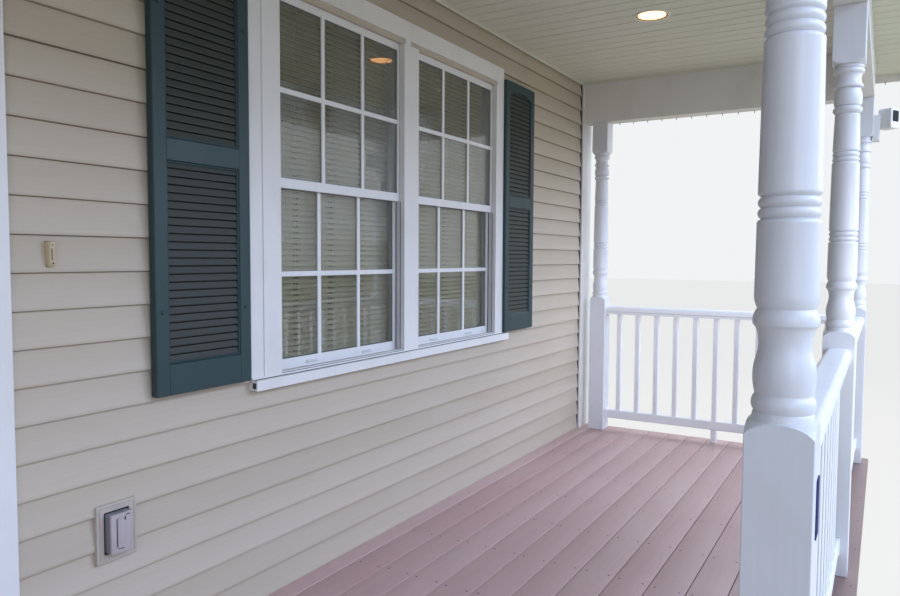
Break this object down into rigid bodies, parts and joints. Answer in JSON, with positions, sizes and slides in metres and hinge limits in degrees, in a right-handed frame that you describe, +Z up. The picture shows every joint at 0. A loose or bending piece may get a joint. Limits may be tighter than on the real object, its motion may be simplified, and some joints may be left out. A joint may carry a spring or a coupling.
{
  "type": "front porch",
  "caption": "Covered front porch with turned posts, white railings, composite deck and steps, set against lap-sided wall with twin window, shutters and door.",
  "frame": {"origin": "on the ground, in the middle of the plan", "axes": "+X along the house wall, street side faces -Y, wall at +Y, +Z up"},
  "size_m": [6.4264, 2.629, 3.9884],
  "materials": {
    "white_trim": "white wrapped trim, low sheen",
    "soffit_vinyl": "ribbed cream-white soffit boards",
    "composite_decking": "embossed wood-plastic composite boards, matte",
    "framing_lumber": "sawn treated lumber",
    "satin_nickel": "satin nickel",
    "door_paint": "dark green satin paint",
    "bell_plastic": "beige moulded plastic",
    "concrete": "cast concrete, rough",
    "wall_sheathing": "sheathing board, bare",
    "light_lens": "frosted lens, lit",
    "light_trim": "white baked enamel",
    "beige_block": "beige moulded mounting block",
    "grey_plastic": "grey weatherproof cover",
    "camera_white": "white moulded housing",
    "post_paint": "turned wood, white gloss paint",
    "rail_vinyl": "white vinyl railing, satin",
    "shingles": "mineral granule shingles",
    "window_vinyl": "white extruded vinyl, satin",
    "shutter_green": "dark green moulded louvre panel",
    "vinyl_siding": "beige lapped siding, fine wood grain",
    "blind_slats": "white slatted blind",
    "window_glass": "clear sheet glass"
  },
  "bodies": {
    "root": {"beam_ends": "white_trim", "beam_front": "white_trim", "ceiling": "soffit_vinyl", "corner_boards": "white_trim", "deck_boards": "composite_decking", "deck_girder": "framing_lumber", "deck_joists": "framing_lumber", "door_casing": "white_trim", "door_frame": "white_trim", "door_handle": "satin_nickel", "door_leaf": "door_paint", "doorbell": "bell_plastic", "fascia_ends": "white_trim", "fascia_front": "white_trim", "foundation": "concrete", "front_wall": "wall_sheathing", "light_lens": "light_lens", "light_trim": "light_trim", "outlet_block": "beige_block", "outlet_cover": "grey_plastic", "piers": "concrete", "post_camera": "camera_white", "posts_front": "post_paint", "posts_wall": "post_paint", "rafters": "framing_lumber", "railings_ends": "rail_vinyl", "railings_front": "rail_vinyl", "rim_ends": "white_trim", "rim_front": "white_trim", "roof": "shingles", "sashes_lower": "window_vinyl", "sashes_upper": "window_vinyl", "shutters": "shutter_green", "siding": "vinyl_siding", "skirt_ends": "white_trim", "skirt_front": "white_trim", "soffit": "soffit_vinyl", "step_risers": "white_trim", "step_stringers": "framing_lumber", "step_treads": "composite_decking", "window_blinds": "blind_slats", "window_casing": "white_trim", "window_frames": "window_vinyl", "window_glass": "window_glass", "window_sill": "white_trim"}
  },
  "joints": []
}
